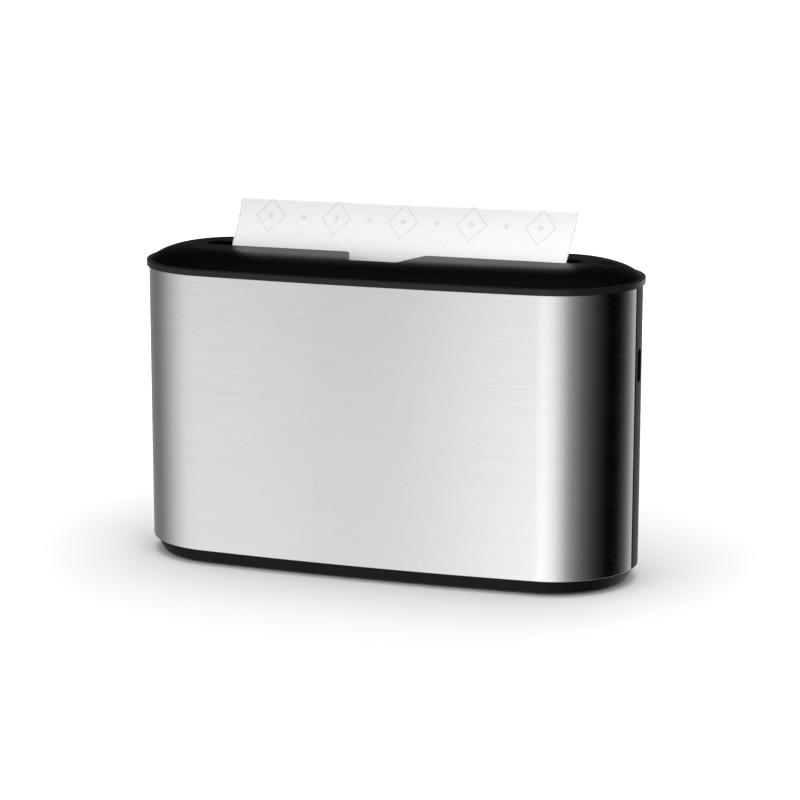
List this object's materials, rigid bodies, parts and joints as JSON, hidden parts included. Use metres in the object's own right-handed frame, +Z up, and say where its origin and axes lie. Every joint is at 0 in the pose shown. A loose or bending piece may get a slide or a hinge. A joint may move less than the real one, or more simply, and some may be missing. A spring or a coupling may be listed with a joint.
{
  "type": "countertop paper towel dispenser",
  "caption": "Countertop dispenser for folded paper towels: brushed steel wrap, black domed lift-off lid with press buttons, slot and finger notch, sprung platform and plinth.",
  "frame": {"origin": "centre of the footprint, on the plane of the rubber feet", "axes": "+X along the long face to the right seen from the front, +Y from the front face to the rear, +Z up"},
  "size_m": [0.323, 0.1176, 0.2255],
  "materials": {
    "brushed_steel": "horizontally brushed stainless steel",
    "lid_gloss": "gloss black moulded plastic",
    "black_satin": "satin black moulded plastic",
    "rim_plastic": "semi gloss charcoal black moulded plastic",
    "grey_plastic": "dark grey moulded plastic",
    "bushing_plastic": "natural acetal",
    "smoked_lens": "clear smoked lens",
    "rubber": "matte black rubber",
    "paper": "white embossed tissue",
    "towel_paper": "white embossed tissue with a pale blue dot and diamond print",
    "ballast": "zinc primed steel plate",
    "screw_steel": "zinc plated steel",
    "rod_steel": "ground steel",
    "spring_steel": "spring wire"
  },
  "bodies": {
    "housing": {"base": "black_satin", "bottom_cover": "black_satin", "ballast_plate": "ballast", "rubber_feet": "rubber", "cover_screws": "screw_steel", "body_shell": "black_satin", "front_panel": "brushed_steel", "rear_panel": "brushed_steel", "left_side_strip": "black_satin", "right_side_strip": "black_satin", "left_window": "smoked_lens", "right_window": "smoked_lens", "front_guide_wall": "grey_plastic", "rear_guide_wall": "grey_plastic", "wall_screws": "screw_steel", "top_frame": "rim_plastic", "frame_screws": "screw_steel", "left_guide_rod": "rod_steel", "right_guide_rod": "rod_steel", "left_lift_spring": "spring_steel", "right_lift_spring": "spring_steel"},
    "lid_cover": {"lid": "lid_gloss", "guide_plate": "black_satin", "guide_plate_screws": "screw_steel", "left_latch_pin": "rod_steel", "right_latch_pin": "rod_steel", "left_button_springs": "spring_steel", "right_button_springs": "spring_steel"},
    "left_button": {"left_button": "lid_gloss"},
    "right_button": {"right_button": "lid_gloss"},
    "left_latch": {"left_latch": "grey_plastic"},
    "right_latch": {"right_latch": "grey_plastic"},
    "lift_platform": {"platform": "grey_plastic", "platform_bushings": "bushing_plastic", "towel_stack": "paper"},
    "towel": {"top_towel": "towel_paper"}
  },
  "joints": [
    {"name": "lid_lift", "type": "slide", "parent": "housing", "child": "lid_cover", "axis": [0, 0, 1], "range_m": [0, 0.06]},
    {"name": "platform_lift", "type": "slide", "parent": "housing", "child": "lift_platform", "axis": [0, 0, 1], "range_m": [-0.046, 0], "stiffness_N_per_m": 200, "springref_m": 0.16, "deforming": ["left_lift_spring", "right_lift_spring"]},
    {"name": "towel_pull", "type": "slide", "parent": "lid_cover", "child": "towel", "axis": [0, 0, 1], "range_m": [0, 0.06]},
    {"name": "left_button_press", "type": "slide", "parent": "lid_cover", "child": "left_button", "axis": [0, 0, -1], "range_m": [0, 0.0024], "stiffness_N_per_m": 400, "springref_m": -0.002, "deforming": ["left_button_springs"]},
    {"name": "left_latch_turn", "type": "hinge", "parent": "lid_cover", "child": "left_latch", "pos_m": [-0.129, 0, 0.1915], "axis": [0, -1, 0], "range_deg": [0, 12.6]},
    {"name": "right_button_press", "type": "slide", "parent": "lid_cover", "child": "right_button", "axis": [0, 0, -1], "range_m": [0, 0.0024], "stiffness_N_per_m": 400, "springref_m": -0.002, "deforming": ["right_button_springs"]},
    {"name": "right_latch_turn", "type": "hinge", "parent": "lid_cover", "child": "right_latch", "pos_m": [0.129, 0, 0.1915], "axis": [0, 1, 0], "range_deg": [0, 12.6]}
  ],
  "couplings": [
    {"joint": "left_latch_turn", "follows": "left_button_press", "rad_per_m": 90.909},
    {"joint": "right_latch_turn", "follows": "right_button_press", "rad_per_m": 90.909}
  ]
}
